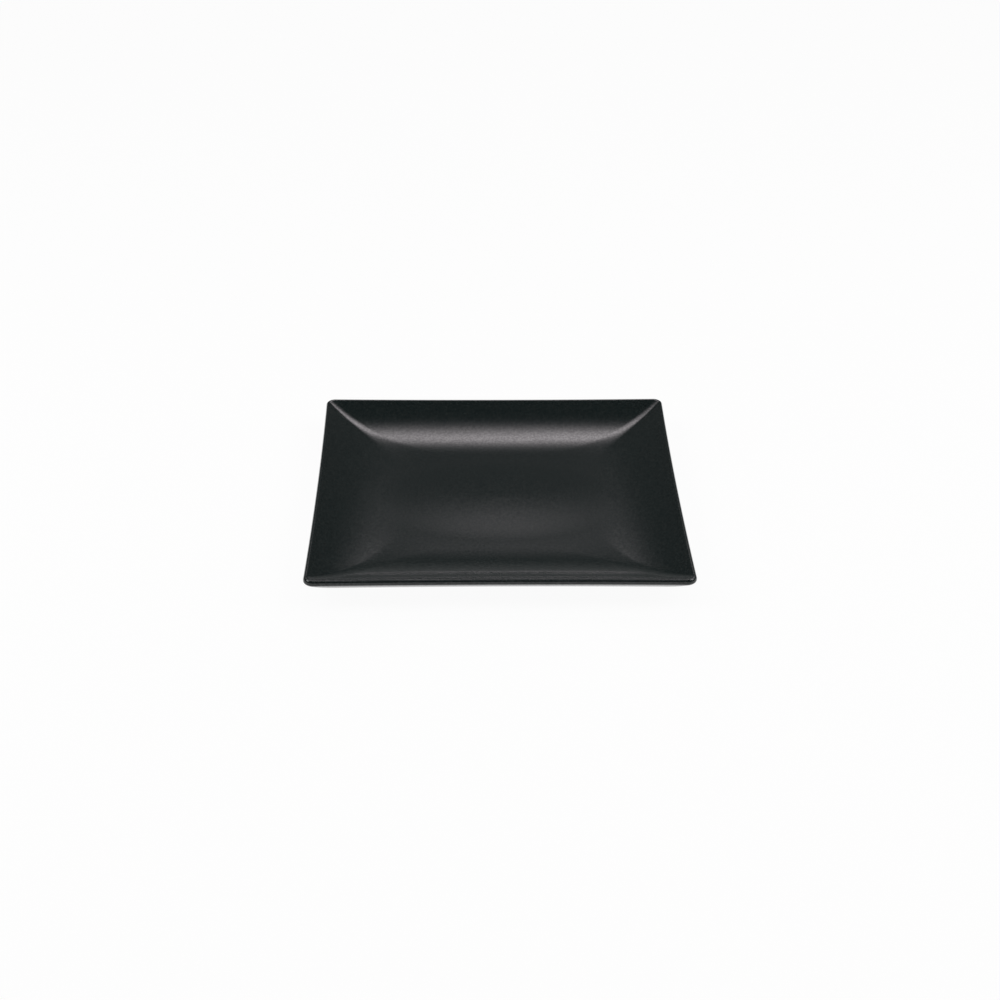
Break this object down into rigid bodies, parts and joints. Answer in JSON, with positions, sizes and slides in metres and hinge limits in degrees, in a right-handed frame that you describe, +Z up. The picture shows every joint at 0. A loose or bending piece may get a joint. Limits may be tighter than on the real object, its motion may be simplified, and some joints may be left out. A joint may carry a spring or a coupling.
{
  "type": "square dinner plate",
  "caption": "Square stoneware dinner plate in satin black glaze, with curved walls that meet in corner creases, a rounded rim and a bare foot ring.",
  "frame": {"origin": "middle of the plate, on the tread of the foot ring that it stands on", "axes": "+Z up out of the well, X and Y along the sides of the square"},
  "size_m": [0.2598, 0.2598, 0.0221],
  "materials": {
    "bare_stoneware": "matte",
    "satin_black_glaze": "satin"
  },
  "bodies": {
    "root": {"stoneware_body": "bare_stoneware", "glaze_coat": "satin_black_glaze", "base_glaze": "satin_black_glaze"}
  },
  "joints": []
}
